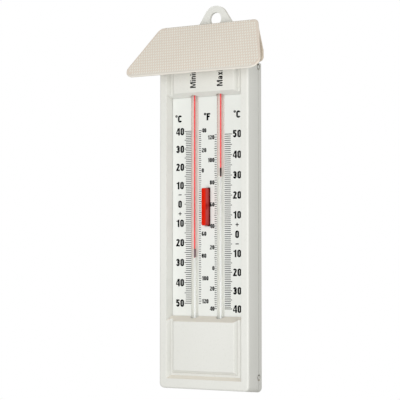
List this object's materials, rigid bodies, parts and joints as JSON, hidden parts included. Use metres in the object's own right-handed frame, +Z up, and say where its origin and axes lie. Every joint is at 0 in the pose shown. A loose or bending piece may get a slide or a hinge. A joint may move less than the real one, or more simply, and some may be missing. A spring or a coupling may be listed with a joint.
{
  "type": "maximum minimum thermometer",
  "caption": "Wall-hung U-tube maximum minimum thermometer with printed scales, push-button marker reset, clip-on back cover and lift-off rain hood.",
  "frame": {"origin": "centre of the hanging hole, on the back plane that lies against the wall", "axes": "+Z up along the case, +Y from the front of the case towards the wall, +X to the viewer's right"},
  "size_m": [0.0906, 0.0349, 0.2339],
  "materials": {
    "case_plastic": "satin injection moulding, slightly warm white",
    "plate_plastic": "satin white with black and grey printed scales",
    "hood_plastic": "cream sheet with a fine raised dot texture",
    "button_plastic": "glossy red moulding",
    "tube_glass": "clear drawn glass",
    "red_spirit": "red dyed liquid",
    "clear_fluid": "clear indicating liquid",
    "marker_steel": "dark glass-coated steel pin",
    "spring_steel": "drawn spring wire",
    "carrier_plastic": "grey moulding",
    "magnet": "black rubber-bonded magnet strip",
    "adhesive": "set translucent yellow adhesive"
  },
  "bodies": {
    "case": {"front_housing": "case_plastic", "back_cover": "case_plastic", "scale_plate": "plate_plastic", "capillary_tube": "tube_glass", "spirit_bulb": "tube_glass", "expansion_bulb": "tube_glass", "min_spirit_column": "red_spirit", "max_spirit_column": "red_spirit", "indicating_fluid": "clear_fluid", "adhesive_dab_min_upper": "adhesive", "adhesive_dab_max_upper": "adhesive", "adhesive_dab_min_lower": "adhesive", "adhesive_dab_max_lower": "adhesive", "return_spring_lower": "spring_steel", "return_spring_upper": "spring_steel"},
    "hood": {"rain_hood": "hood_plastic"},
    "button": {"reset_button": "button_plastic", "magnet_carrier": "carrier_plastic", "magnet_strip_min": "magnet", "magnet_strip_max": "magnet"},
    "min_marker": {"index_min": "marker_steel"},
    "max_marker": {"index_max": "marker_steel"}
  },
  "joints": [
    {"name": "button_press", "type": "slide", "parent": "case", "child": "button", "axis": [0, 1, 0], "range_m": [0, 0.0025], "stiffness_N_per_m": 400, "springref_m": -0.002, "deforming": ["return_spring_lower", "return_spring_upper"]},
    {"name": "min_marker_slide", "type": "slide", "parent": "case", "child": "min_marker", "axis": [0, 0, 1], "range_m": [0, 0.0765], "deforming": ["min_spirit_column"]},
    {"name": "max_marker_slide", "type": "slide", "parent": "case", "child": "max_marker", "axis": [0, 0, 1], "range_m": [0, 0.0252], "deforming": ["max_spirit_column"]},
    {"name": "hood_lift", "type": "slide", "parent": "case", "child": "hood", "axis": [0, 0, 1], "range_m": [0, 0.045]}
  ]
}
